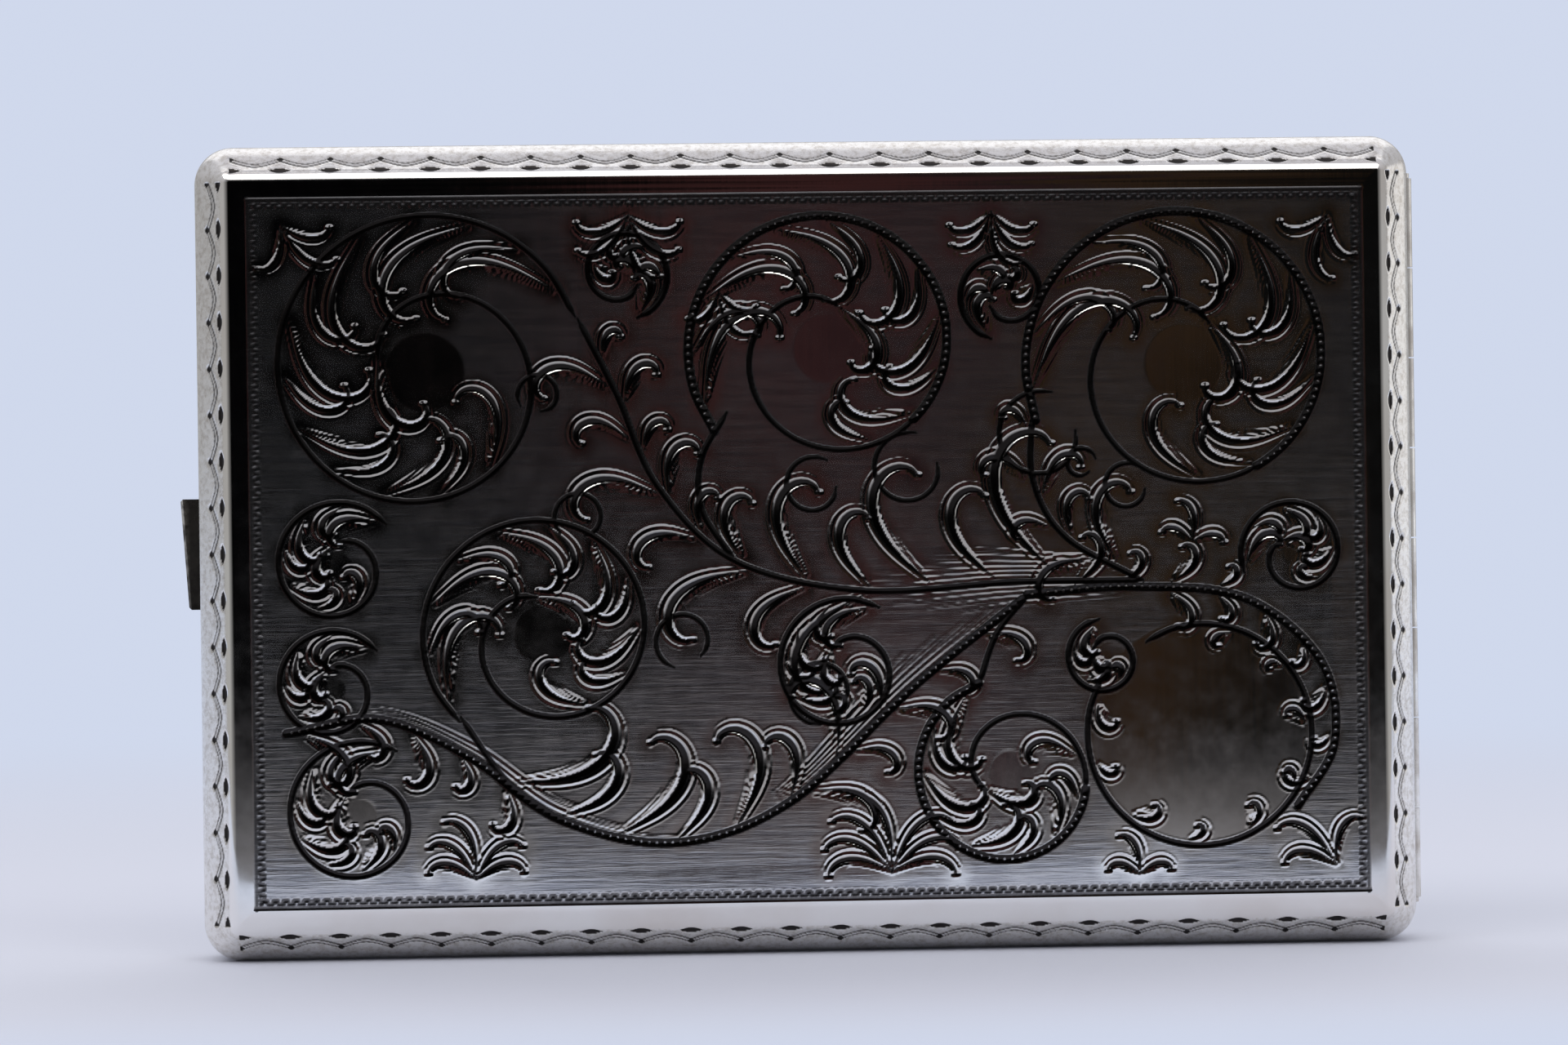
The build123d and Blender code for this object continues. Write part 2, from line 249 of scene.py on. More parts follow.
def profile_outside():
    """A cover's outer section from its flat face to its rim: (inset from the rim, depth from the seam)."""
    flat = np.array([(RIM_RADIUS, DEPTH - EDGE_FALL)])
    t = np.linspace(0, 1, 15)[1:, None]
    a = flat[0]
    b = (RIDGE_INSET + 0.06, DEPTH - 2 * EDGE_FALL)
    c = (RIDGE_INSET - 0.38, DEPTH - 0.62)
    a, b, c = np.array([a, b, c])
    ridge = (1 - t) ** 2 * a + 2 * t * (1 - t) * b + t ** 2 * c
    t = np.linspace(0, 1, 33)[1:, None]
    p = np.array([c, (c[0] - 0.8, c[1] - 1.15), (0.02, BEVEL_START + 1.25), (0.0, BEVEL_START - 0.3)])
    bevel = (1 - t) ** 3 * p[0] + 3 * t * (1 - t) ** 2 * p[1] + 3 * t ** 2 * (1 - t) * p[2] + t ** 3 * p[3]
    depths = np.linspace(BEVEL_START - 0.3, SEAT, 13)[1:]
    wall = np.stack([np.zeros(12), depths], 1)
    wall[-1] = (0.08, SEAT)
    wall[-2] = (0.02, SEAT + 0.07)
    return np.vstack([flat, ridge, bevel, wall])


def profile_inside():
    """A cover's inner section from its flat inner face to its rim."""
    floor = DEPTH - SHEET
    return np.array([(RIM_RADIUS + 0.3, floor), (2.95, floor), (2.62, floor - 0.28), (1.55, 3.6),
                     (0.85, 2.55), (SHEET, 1.9), (SHEET, 1.19), (SHEET, SEAT + 0.08), (SHEET - 0.08, SEAT)])


def pan(cells_x, cells_z, corner, profile):
    """A face grid and the rings round it: vertices (x, depth, z), faces and the last ring's indices."""
    inset0 = profile[0, 0]
    half_w, half_h = HALF_W - inset0, HALF_H - inset0
    xs = np.linspace(-half_w, half_w, cells_x + 1)
    zs = np.linspace(-half_h, half_h, cells_z + 1)
    gx, gz = np.meshgrid(xs, zs)
    grid = np.stack([gx.ravel(), np.full(gx.size, profile[0, 1]), gz.ravel()], 1)
    index = np.arange(gx.size).reshape(gx.shape)
    quads = np.stack([index[:-1, :-1], index[:-1, 1:], index[1:, 1:], index[1:, :-1]], -1).reshape(-1, 4)
    # Boundary, anticlockwise from the lower left corner: each side, then the corner after it
    sides = [index[0, :], index[:, -1], index[-1, ::-1], index[::-1, 0]]
    normals = [(0, -1), (1, 0), (0, 1), (-1, 0)]
    base, direction, along = [], [], []
    for number, (side, normal) in enumerate(zip(sides, normals)):
        for vertex in side:
            base.append(vertex)
            direction.append(normal)
            along.append(number)
        start = math.atan2(normal[1], normal[0])
        for k in range(1, corner):
            angle = start + math.pi / 2 * k / corner
            base.append(side[-1])
            direction.append((math.cos(angle), math.sin(angle)))
            along.append(number)
    base = np.array(base)
    direction = np.array(direction)
    count = len(base)
    vertices = [grid]
    faces = [quads]
    previous = base
    total = len(grid)
    for inset, depth in profile[1:]:
        out = inset0 - inset
        ring = np.stack([grid[base, 0] + direction[:, 0] * out, np.full(count, depth),
                         grid[base, 2] + direction[:, 1] * out], 1)
        current = total + np.arange(count)
        vertices.append(ring)
        faces.append(np.stack([previous, current, np.roll(current, -1), np.roll(previous, -1)], 1))
        previous = current
        total += count
    return np.vstack(vertices), np.vstack(faces), previous, direction, np.array(along)


# ------------------------------------------------------------------------------ engraved design

# The scrollwork is drawn by rule: stems, curls, and leaves that spring from them at even distances. Curls
# and stems stand on whole and half millimetres from the middle of the face.

CARTOUCHE_CENTRE = (30.5, -15.0)
CARTOUCHE_RADIUS = 9.0
BORDER_INSET = 2.4          # from the ridge to the engraved border line
SPACED = 20                 # a smoothed stem is redrawn through every 20th of its samples


def curl(centre, radius, start, turns, hand, inner=0.3):
    """A stem winding in from its bearing start, in degrees. hand is +1 anticlockwise and -1 clockwise."""
    t = np.linspace(0, 1, int(16 * turns) + 4)
    bearing = math.radians(start) + hand * turns * 2 * math.pi * t
    reach = radius * (1 - (1 - inner) * t ** 1.8)
    return np.stack([centre[0] + reach * np.cos(bearing), centre[1] + reach * np.sin(bearing)], 1)


def leaf(root, heading, length, bend):
    """A leaf's stroke: it leaves its root along heading and turns by bend, faster and faster, to its head."""
    t = np.linspace(0, 1, 11)
    bearing = math.radians(heading) + math.radians(bend) * t ** 1.8
    step = length / 10 * (1.3 - 0.75 * t)
    along = np.stack([step * np.cos(bearing), step * np.sin(bearing)], 1)[:-1]
    return np.vstack([[root], root + np.cumsum(along, axis=0)])


def fringe(relief, stem, side, spacing, length, spread=32, bend=215, first=0.03, last=0.8, width=0.8,
           ring=False):
    """Leaves along one side of a stem (+1 is its left), long and short in turn, smaller towards its end.

    With ring, a tendril runs round the head of each long leaf.
    """
    run = np.concatenate([[0], np.cumsum(np.linalg.norm(np.diff(stem, axis=0), axis=1))])
    places = np.arange(first * run[-1], last * run[-1], spacing)
    for number, place in enumerate(places):
        k = int(np.clip(np.searchsorted(run, place), 2, len(stem) - 3))
        way = stem[k + 2] - stem[k - 2]
        way = way / np.hypot(way[0], way[1])
        heading = math.degrees(math.atan2(way[1], way[0])) + side * spread
        share = (1 - 0.35 * number / max(len(places) - 1, 1)) * (1.0 if number % 2 == 0 else 0.68)
        root = stem[k] + side * 0.45 * np.array([-way[1], way[0]])
        points = leaf(root, heading, length * share, side * bend)
        comma(relief, points, width * (0.6 + 0.4 * share), roots=3 if number % 2 == 0 else 1)
        if ring and number % 2 == 0:
            round_head = curl(points[-2], 0.2 * length * share, heading + side * 60, 0.8, -side, inner=0.8)
            line(relief, round_head, 0.24)


def strands(relief, stem, side, count, gap=0.34, first=0.0, last=1.0):
    """Fine bright lines that run beside a stem and spread away from it."""
    low, high = int(first * len(stem)), int(last * len(stem))
    for number in range(count):
        part = stem[low:max(high - number * (high - low) // (2 * count), low + 12)]
        away = side * (0.45 + gap * number * np.linspace(0.6, 1.5, len(part)))
        relief.groove(offset_path(part, away), 0.15 * np.sin(np.linspace(0.3, np.pi, len(part))), 0.04,
                      dark=0.08, burr=0.006)


def scroll(relief, centre, radius, start, turns, hand, spacing=3.6, beads=False, size=0.95):
    """A curl with leaves along its inside, and a plain eye with a hooked leaf in it."""
    stem = spline(curl(centre, radius, start, turns, hand))
    if beads:
        beads_end = int(len(stem) * 0.62)
        beaded(relief, stem[:beads_end])
        line(relief, stem[beads_end::SPACED], 0.3)
    else:
        line(relief, stem[::SPACED], 0.34)
    relief.polish(centre, 0.26 * radius)
    fringe(relief, stem, hand, spacing, size * radius, last=0.72)
    way = stem[-1] - stem[-6]
    comma(relief, leaf(stem[-1], math.degrees(math.atan2(way[1], way[0])), 0.75 * radius, hand * 250), 0.85)


def spray(relief, root, heading, fan, count, length, width=0.6):
    """Leaves fanning out of one root, which hook outwards from the middle one."""
    for number in range(count):
        place = number / max(count - 1, 1) - 0.5
        side = -1 if place > 0 else 1
        angle = heading - fan * place
        share = 1 - 0.5 * abs(place)
        comma(relief, leaf(np.array(root, float), angle, length * share, side * 120), width, roots=1)


def scrollwork(relief):
    """Three large curls along the top, a sweeping stem along the bottom, and smaller curls between them."""
    scroll(relief, (-30.0, 14.0), 12.5, 20, 1.4, 1, 4.5, size=1.15)
    scroll(relief, (1.5, 15.5), 11.0, 215, 1.4, -1, 4.3, beads=True, size=1.15)
    scroll(relief, (29.5, 14.0), 12.5, 200, 1.4, -1, 4.5, beads=True, size=1.15)
    scroll(relief, (-21.0, -6.5), 9.5, 225, 1.35, -1, 4.1, size=1.1)
    scroll(relief, (15.5, -18.0), 7.5, 110, 1.3, 1, 3.8, beads=True, size=1.1)
    for x, z, radius, start, hand in ((-37.0, -1.0, 5.0, 40, 1), (-37.5, -10.5, 4.5, 40, 1),
                                      (-35.5, -20.5, 5.8, 60, 1), (38.0, -1.0, 4.2, 200, -1),
                                      (2.5, -9.5, 5.4, 60, 1), (15.5, 19.5, 3.6, 250, -1),
                                      (-14.5, 21.5, 3.6, 290, 1), (23.0, -9.0, 3.0, 100, 1)):
        scroll(relief, (x, z), radius, start, 1.2, hand, 3.2, size=1.1)
    # Stems: the sweep along the bottom, the one over the cartouche, and those that rise from where they meet
    sweep = spline([(-41, -14), (-34, -13), (-27, -16), (-20, -21), (-11, -23), (-2, -20), (8, -11),
                    (17, -4)])
    over = spline([(17, -4), (25, -3.5), (34, -4.5), (40, -9.5), (41, -16), (38, -21)])
    rise = spline([(26, -3), (16, -3), (4, -3.5), (-6, -1), (-12, 5), (-15, 12), (-18, 18)])
    cross = spline([(26, -3), (20, 0.5), (17.5, 5), (17.5, 10.5)])
    beaded(relief, sweep[::SPACED])
    beaded(relief, over[::SPACED])
    line(relief, rise[::SPACED], 0.34)
    line(relief, cross[::SPACED], 0.34)
    line(relief, [(-6, -1), (-8.5, 3), (-8.5, 7), (-6.5, 10.5)], 0.34)
    line(relief, [(-20, -21), (-24, -18), (-27.5, -13)], 0.34)
    line(relief, [(17, -4), (14.5, -7), (13, -11)], 0.34)
    fringe(relief, sweep, 1, 4.8, 13.5, spread=40, first=0.28, last=0.80, width=1.05)
    fringe(relief, sweep, -1, 4.4, 7.0, first=0.02, last=0.30, width=0.8)
    fringe(relief, sweep, -1, 4.6, 8.0, spread=36, first=0.66, last=0.98, width=0.8)
    fringe(relief, rise, -1, 5.0, 17.0, spread=44, first=0.12, last=0.56, width=1.1, ring=True)
    fringe(relief, rise, -1, 4.0, 7.0, first=0.58, last=0.97, width=0.8)
    fringe(relief, rise, 1, 4.6, 12.5, first=0.40, last=0.98, width=0.95, ring=True)
    fringe(relief, over, -1, 4.0, 4.4, first=0.30, last=1.0, width=0.6)
    fringe(relief, over, 1, 3.8, 6.0, first=0.10, last=0.48, width=0.7)
    fringe(relief, cross, 1, 4.0, 7.0, first=0.25, last=0.95, width=0.8)
    fringe(relief, cross, -1, 4.2, 9.0, first=0.14, last=0.80, width=0.8, ring=True)
    strands(relief, sweep, 1, 5, first=0.62, last=0.99)
    strands(relief, rise, -1, 6, first=0.04, last=0.42)
    strands(relief, rise, 1, 4, first=0.03, last=0.40)
    strands(relief, sweep, 1, 3, first=0.1, last=0.5)
    # Corners and gaps
    for x, z, heading, fan, count, length in (
            (-41.0, 25.5, -60, 60, 3, 6.0), (-14.0, 26.0, -90, 110, 5, 6.5), (14.5, 26.0, -90, 90, 5, 5.5),
            (41.0, 25.5, -115, 60, 3, 6.0), (-26.5, -25.5, 90, 110, 5, 6.0), (6.0, -25.5, 90, 130, 7, 8.0),
            (25.5, -26.0, 90, 110, 3, 4.0), (41.0, -25.5, 120, 60, 3, 6.5),
            (30.0, 0.0, 80, 110, 3, 4.0), (-7.0, 20.0, -80, 60, 3, 5.0)):
        spray(relief, (x, z), heading, fan, count, length)


def engrave_front():
    """The front cover's relief: the scrollwork, the blank cartouche and the border lines."""
    relief = Relief(FACE_W, FACE_H, FINE * COARSE_X, FINE * COARSE_Z)
    scrollwork(relief)
    relief.polish(CARTOUCHE_CENTRE, CARTOUCHE_RADIUS)
    rim = spline(curl(CARTOUCHE_CENTRE, CARTOUCHE_RADIUS, 150, 0.93, 1, inner=0.93))
    line(relief, rim[::SPACED], 0.34)
    fringe(relief, rim, 1, 5.2, 3.4, spread=20, first=0.04, last=0.94, width=0.6)
    border(relief)
    edge = np.minimum(FACE_W - np.abs(relief.x)[None, :], FACE_H - np.abs(relief.z)[:, None])
    relief.plain = np.maximum(relief.plain, np.clip((BORDER_INSET - 1.0 - edge) / 0.15, 0, 1))
    return relief


def engrave_back():
    """The back cover's relief: the same scrollwork, with a rosette of six leaves for the cartouche."""
    relief = Relief(FACE_W, FACE_H, FINE * COARSE_X, FINE * COARSE_Z)
    scrollwork(relief)
    for angle in range(0, 360, 60):
        turn = math.radians(angle)
        root = np.array(CARTOUCHE_CENTRE) + 7.8 * np.array([math.cos(turn), math.sin(turn)])
        comma(relief, leaf(root, angle + 130, 8.5, 190), 0.85)
    border(relief)
    return relief


def border(relief):
    """A fine line and a dotted line round the face."""
    for inset, width in ((BORDER_INSET - 0.45, 0.16), (BORDER_INSET, 0.14)):
        w = FACE_W - inset + 0.55
        h = FACE_H - inset + 0.55
        corners = [(-w, -h), (w, -h), (w, h), (-w, h)]
        for a, b in zip(corners, corners[1:] + corners[:1]):
            count = int(np.hypot(b[0] - a[0], b[1] - a[1]) / 0.05)
            t = np.linspace(0, 1, count)[:, None]
            path = np.array(a) * (1 - t) + np.array(b) * t
            if inset == BORDER_INSET:
                run = np.arange(count) * 0.05
                wave = 0.12 * np.sign(np.sin(run * 2 * np.pi / 0.8))
                path = offset_path(path, wave)
            relief.groove(path, np.full(count, width), 0.04, dark=0.6, burr=0.003)


# ------------------------------------------------------------------------------------ covers

def festoon(along, out, half, pitch):
    """Depth and darkness of the bevel's border at a distance along a side and out from the ridge."""
    cycles = max(1, round(2 * half / pitch))
    swag = np.abs(np.sin((along + half) / (2 * half) * cycles * np.pi))
    depth = np.zeros_like(out)
    dark = np.zeros_like(out)
    for low, width, cut in ((0.0, 0.14, 0.05), (0.34, 0.1, 0.035)):
        centre = 0.95 + low + 0.75 * (1 - swag) ** 0.8
        profile = np.clip(1 - np.abs(out - centre) / width, 0, 1)
        depth = np.maximum(depth, cut * profile)
        dark = np.maximum(dark, np.clip(2.4 * profile, 0, 0.6))
    body = np.clip(1 - (swag / 0.66) ** 2, 0.01, 1)
    lens = np.clip(1 - np.abs(out - 0.5) / (0.36 * body), 0, 1) * (swag < 0.66)
    depth = np.maximum(depth, 0.16 * lens)
    dark = np.maximum(dark, np.clip(lens * 4, 0, 1))
    reach = np.hypot(swag * pitch / np.pi / 0.3, (out - 1.95) / 0.26)
    dot = np.clip(1 - reach, 0, 1)
    depth = np.maximum(depth, 0.1 * np.sqrt(dot))
    dark = np.maximum(dark, np.clip(dot * 4, 0, 1))
    return depth, dark


def ring_lift(depth, low):
    """Depths below BEVEL_START squeezed so that the rim stops at low instead of at the seam."""
    top = BEVEL_START - 0.3
    return np.where(depth < top, low + (depth - SEAT) * (top - low) / (top - SEAT), depth)


def oriented(faces, vertices, towards):
    """Polygons turned so that each one's normal points along its direction in towards."""
    done = []
    for face, want in zip(faces, towards):
        p = vertices[face]
        normal = np.cross(p - p.mean(0), np.roll(p, -1, 0) - p.mean(0)).sum(0)
        done.append(face if normal @ want > 0 else face[::-1])
    return done


def cover(name, side, relief, has_slot):
    """One pressed cover as a closed shell. side is -1 for the front cover and +1 for the back one."""
    section = profile_outside()
    inner_section = profile_inside()
    outer, outer_quads, outer_rim, direction, side_of = pan(
        FINE * COARSE_X, FINE * COARSE_Z, FINE * COARSE_CORNER, section)
    inner, inner_quads, inner_rim, inner_direction, inner_side_of = pan(
        COARSE_X, COARSE_Z, COARSE_CORNER, inner_section)
    grid = relief.cut.size
    inner_grid = (COARSE_X + 1) * (COARSE_Z + 1)
    per_ring = len(outer_rim)
    inner_per_ring = len(inner_rim)
    count = len(outer) + len(inner)
    dark = np.zeros(count)
    plain = np.zeros(count)
    frost = np.zeros(count)

    # Relief on the face, over a slight wave in the sheet
    gx, gz = np.meshgrid(relief.x, relief.z)
    fade = np.clip(np.minimum(FACE_W - np.abs(gx), FACE_H - np.abs(gz)) / 4, 0, 1)
    wave = np.sin(gx / 7.3 + 1.1 * np.sin(gz / 9.1)) + np.sin(gz / 6.1 + 1.3 * np.sin(gx / 11.7 + 2)) - 1
    away = np.minimum(FACE_W - np.abs(gx), FACE_H - np.abs(gz))
    crown = (EDGE_FALL - PROUD) * (1 - np.clip(1 - away / EDGE_RUN, 0, 1) ** 2)
    outer[:grid, 1] += (relief.height() + SHEET_WAVE * fade * wave + crown).ravel()
    dark[:grid] = relief.dark.ravel()
    plain[:grid] = relief.plain.ravel()

    # Border on the bevel
    step = np.gradient(section, axis=0)
    step /= np.linalg.norm(step, axis=1)[:, None]
    run = np.concatenate([[0], np.cumsum(np.linalg.norm(np.diff(section, axis=0), axis=1))])
    ridge_run = np.interp(RIM_RADIUS - RIDGE_INSET, RIM_RADIUS - section[:, 0], run)
    on_x = side_of % 2 == 0
    straight = np.max(np.abs(direction), axis=1) > 0.9999
    for ring in range(1, len(section)):
        first = grid + (ring - 1) * per_ring
        block = outer[first:first + per_ring]
        out = np.full(per_ring, run[ring] - ridge_run)
        depth_x, dark_x = festoon(block[:, 0], out, FACE_W, 3.9)
        depth_z, dark_z = festoon(block[:, 2], out, FACE_H, 3.65)
        depth = np.where(on_x, depth_x, depth_z) * straight
        dark[first:first + per_ring] = np.where(on_x, dark_x, dark_z) * straight
        plain[first:first + per_ring] = 1.0
        frost[first:first + per_ring] = np.clip((out - 0.18) / 0.12, 0, 1)
        block[:, 0] += direction[:, 0] * step[ring, 1] * depth
        block[:, 2] += direction[:, 1] * step[ring, 1] * depth
        block[:, 1] += step[ring, 0] * depth

    # Room for the knuckles along the hinge side
    low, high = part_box("hinge_pin")
    reach = (high.z - low.z) / 2 / MM + HINGE_END_ROOM
    wall = outer[outer_rim]
    seats = np.tile((wall[:, 0] > HALF_W - 0.4) & (np.abs(wall[:, 2]) < reach), len(section) - 1)
    outer[grid:, 1] = np.where(seats, ring_lift(outer[grid:, 1], KNUCKLE_SEAT), outer[grid:, 1])
    wall = inner[inner_rim]
    seats = np.tile((wall[:, 0] > HALF_W - 1.1) & (np.abs(wall[:, 2]) < reach + 0.3), len(inner_section) - 1)
    inner[inner_grid:, 1] = np.where(seats, ring_lift(inner[inner_grid:, 1], KNUCKLE_SEAT - 0.22),
                                     inner[inner_grid:, 1])

    vertices = np.vstack([outer, inner])
    inner_quads = inner_quads + len(outer)
    inner_rim = inner_rim + len(outer)
    strips = []
    for k in range(inner_per_ring):
        fine = [outer_rim[(FINE * k + j) % per_ring] for j in range(FINE + 1)]
        strips.append(np.array(fine + [inner_rim[(k + 1) % inner_per_ring], inner_rim[k]]))
    extra = oriented(strips, vertices, [(0, -1, 0)] * len(strips))

    if has_slot:
        outer_gone, outer_loop = slot_cells(outer, grid, per_ring, section, direction, side_of)
        inner_gone, inner_loop = slot_cells(inner, inner_grid, inner_per_ring, inner_section,
                                            inner_direction, inner_side_of)
        outer_quads = outer_quads[~outer_gone(outer_quads)]
        shifted = inner_quads - len(outer)
        inner_quads = inner_quads[~inner_gone(shifted)]
        walls = []
        for fine, coarse in zip(outer_loop, inner_loop):
            walls.append(np.concatenate([fine, coarse[::-1] + len(outer)]))
        middle = vertices[np.concatenate(walls)].mean(0)
        extra += oriented(walls, vertices, [middle - vertices[wall].mean(0) for wall in walls])

    faces = [[v for n, v in enumerate(q) if v != q[n - 1]] for q in outer_quads.tolist()]
    split = len(faces)
    faces += [[v for n, v in enumerate(q) if v != q[n - 1]][::-1] for q in inner_quads.tolist()]
    faces += [face.tolist() for face in extra]
    if side > 0:
        faces = [face[::-1] for face in faces]

    placed = vertices[:, [0, 1, 2]] * MM
    placed[:, 0] += CASE_X * MM
    placed[:, 1] *= side
    placed[:, 2] += CASE_Z * MM
    mesh = bpy.data.meshes.new(name)
    mesh.from_pydata(placed, [], faces)
    # The cut darkening: patina in the cuts, and painted shade on the shallow walls of leaning cuts.
    for label, values in (("patina_and_shade", dark), ("plain", plain), ("frost", frost)):
        mesh.attributes.new(label, "FLOAT", "POINT").data.foreach_set("value", values.astype(np.float32))
    mesh.materials.append(material_engraved())
    mesh.materials.append(material_gilt())
    slots = np.zeros(len(faces), np.int32)
    slots[split:] = 1
    mesh.polygons.foreach_set("material_index", slots)
    mesh.polygons.foreach_set("use_smooth", np.ones(len(faces), bool))
    mesh.update()
    piece = bpy.data.objects.new(name, mesh)
    scene.collection.objects.link(piece)
    return piece


def slot_cells(vertices, grid, per_ring, section, direction, side_of):
    """The part of a skin that the push's slot takes away: a test for its quads, and its four edges."""
    first = np.flatnonzero((side_of == 3) & (direction[:, 0] < -0.9999))
    z = vertices[grid + first, 2]
    columns = first[np.abs(z) < SLOT_HALF_LENGTH + 0.02]
    depths = section[:, 1]
    rings = [int(np.argmin(np.abs(depths - far))) for far in (SLOT_FAR, SLOT_NEAR)]

    def at(ring, column):
        return grid + (ring - 1) * per_ring + column

    inside = set()
    for ring in range(rings[0], rings[1] + 1):
        inside.update(at(ring, columns).tolist())
    keep = np.zeros(len(vertices), bool)
    keep[list(inside)] = True

    def taken(quads):
        return keep[quads].all(1)

    down = np.array([at(ring, columns[-1]) for ring in range(rings[0], rings[1] + 1)])
    up = np.array([at(ring, columns[0]) for ring in range(rings[0], rings[1] + 1)])
    return taken, [at(rings[0], columns), at(rings[1], columns), up, down]


# --------------------------------------------------------------------------------- materials

def socket(shader, name, value):
    shader.inputs[name].default_value = value


def new_material(name):
    """A node material with its tree emptied to a Principled shader and the object's own coordinates."""
    material = bpy.data.materials.new(name)
    material.use_nodes = True
    nodes = material.node_tree.nodes
    shader = nodes["Principled BSDF"]
    where = nodes.new("ShaderNodeTexCoord")
    return material, nodes, material.node_tree.links, shader, where.outputs["Object"]


def noise(nodes, links, where, scale, detail=4.0, stretch=(1, 1, 1), rough=0.5):
    """A noise value in object space: scale is in features per metre, stretch squeezes it per axis."""
    mapping = nodes.new("ShaderNodeMapping")
    mapping.inputs["Scale"].default_value = stretch
    links.new(where, mapping.inputs["Vector"])
    texture = nodes.new("ShaderNodeTexNoise")
    texture.inputs["Scale"].default_value = scale
    texture.inputs["Detail"].default_value = detail
    texture.inputs["Roughness"].default_value = rough
    links.new(mapping.outputs["Vector"], texture.inputs["Vector"])
    return texture.outputs["Fac"]


def ramp(nodes, links, value, stops):
    """A value or colour from a value: stops are (place, number or colour)."""
    node = nodes.new("ShaderNodeValToRGB")
    elements = node.color_ramp.elements
    while len(elements) < len(stops):
        elements.new(0.5)
    for element, (place, colour) in zip(elements, stops):
        element.position = place
        element.color = (*colour, 1) if isinstance(colour, tuple) else (colour, colour, colour, 1)
    links.new(value, node.inputs["Fac"])
    return node.outputs["Color"]


def math_node(nodes, links, operation, a, b, clamp=False):
    """The result of a Math node on two values, each a socket or a number."""
    node = nodes.new("ShaderNodeMath")
    node.operation = operation
    node.use_clamp = clamp
    for number, value in enumerate((a, b)):
        if isinstance(value, (int, float)):
            node.inputs[number].default_value = value
        else:
            links.new(value, node.inputs[number])
    return node.outputs["Value"]


def mix(nodes, links, factor, a, b):
    """Mix two colours, each a socket or an (r, g, b) tuple."""
    node = nodes.new("ShaderNodeMix")
    node.data_type = "RGBA"
    links.new(factor, node.inputs["Factor"])
    for name, value in (("A", a), ("B", b)):
        target = [i for i in node.inputs if i.name == name and i.type == "RGBA"][0]
        if isinstance(value, tuple):
            target.default_value = (*value, 1)
        else:
            links.new(value, target)
    return [o for o in node.outputs if o.type == "RGBA"][0]


def bump(nodes, links, height, distance, strength=1.0, below=None):
    node = nodes.new("ShaderNodeBump")
    node.inputs["Distance"].default_value = distance
    node.inputs["Strength"].default_value = strength
    links.new(height, node.inputs["Height"])
    if below is not None:
        links.new(below, node.inputs["Normal"])
    return node.outputs["Normal"]


def attribute(nodes, name):
    node = nodes.new("ShaderNodeAttribute")
    node.attribute_name = name
    return node.outputs["Fac"]


made = {}


def once(maker):
    """Make a material the first time it is asked for, and hand out the same one afterwards."""
    def give():
        if maker.__name__ not in made:
            made[maker.__name__] = maker()
        return made[maker.__name__]
    return give


@once
def material_engraved():
    """Old polished silver: patina in the cuts, with painted shade on their shallow walls, a hatched ground, a
    frosted bevel, smudges and scratches.
    """
    material, nodes, links, shader, where = new_material("engraved_silver")
    patina_and_shade = attribute(nodes, "patina_and_shade")
    plain = attribute(nodes, "plain")
    frost = attribute(nodes, "frost")
    tarnish = noise(nodes, links, where, 110, 5)
    smudge = noise(nodes, links, where, 520, 6, rough=0.65)
    speck = noise(nodes, links, where, 1900, 3, rough=0.7)
    hatch = noise(nodes, links, where, 1100, 3, stretch=(0.2, 1, 3.6), rough=0.6)
    scratch = noise(nodes, links, where, 2600, 2, stretch=(1, 1, 0.04))
    metal = ramp(nodes, links, tarnish, [(0.3, (0.80, 0.755, 0.71)), (0.62, (0.90, 0.885, 0.86))])
    frosted = ramp(nodes, links, speck, [(0.32, (0.52, 0.48, 0.43)), (0.56, (0.84, 0.82, 0.79))])
    metal = mix(nodes, links, math_node(nodes, links, "MULTIPLY", frost, 0.75), metal, frosted)
    oxide = ramp(nodes, links, hatch, [(0.36, 1.0), (0.62, 0.45)])
    ground = math_node(nodes, links, "SUBTRACT", 1.0, plain, clamp=True)
    metal = mix(nodes, links, math_node(nodes, links, "MULTIPLY", ground, oxide), metal, (0.50, 0.50, 0.52))
    # Near-black patina in the cuts; on the shallow wall of each leaning cut it is also painted shade.
    cover_amount = ramp(nodes, links, smudge, [(0.25, 0.8), (0.6, 1.0)])
    shaded_patina = math_node(nodes, links, "MULTIPLY", patina_and_shade, cover_amount)
    shaded_patina = ramp(nodes, links, shaded_patina, [(0.1, 0.0), (0.7, 1.0)])
    links.new(mix(nodes, links, shaded_patina, metal, (0.030, 0.027, 0.026)), shader.inputs["Base Color"])
    links.new(math_node(nodes, links, "SUBTRACT", 1.0, math_node(nodes, links, "MULTIPLY", ground, 0.022)),
              shader.inputs["Metallic"])
    rough = ramp(nodes, links, smudge, [(0.3, 0.045), (0.75, 0.10)])
    for amount, factor in ((ground, 0.04), (shaded_patina, 0.12), (frost, 0.16)):
        rough = math_node(nodes, links, "ADD", rough, math_node(nodes, links, "MULTIPLY", amount, factor))
    links.new(rough, shader.inputs["Roughness"])
    lines = math_node(nodes, links, "MULTIPLY", ground, hatch)
    normal = bump(nodes, links, lines, 0.000009, 0.5)
    normal = bump(nodes, links, scratch, 0.000003, 0.5, below=normal)
    normal = bump(nodes, links, math_node(nodes, links, "MULTIPLY", frost, speck), 0.00002, 0.5, below=normal)
    links.new(normal, shader.inputs["Normal"])
    return material


@once
def material_gilt():
    """Thin gilding over satin silver, worn paler in patches."""
    material, nodes, links, shader, where = new_material("gilt_silver")
    patch = noise(nodes, links, where, 60, 5)
    grain = noise(nodes, links, where, 3000, 3)
    colour = ramp(nodes, links, patch, [(0.35, (0.84, 0.62, 0.30)), (0.7, (0.88, 0.74, 0.48))])
    links.new(colour, shader.inputs["Base Color"])
    links.new(ramp(nodes, links, patch, [(0.3, 0.22), (0.7, 0.34)]), shader.inputs["Roughness"])
    socket(shader, "Metallic", 1.0)
    links.new(bump(nodes, links, grain, 0.00001, 0.4), shader.inputs["Normal"])
    return material


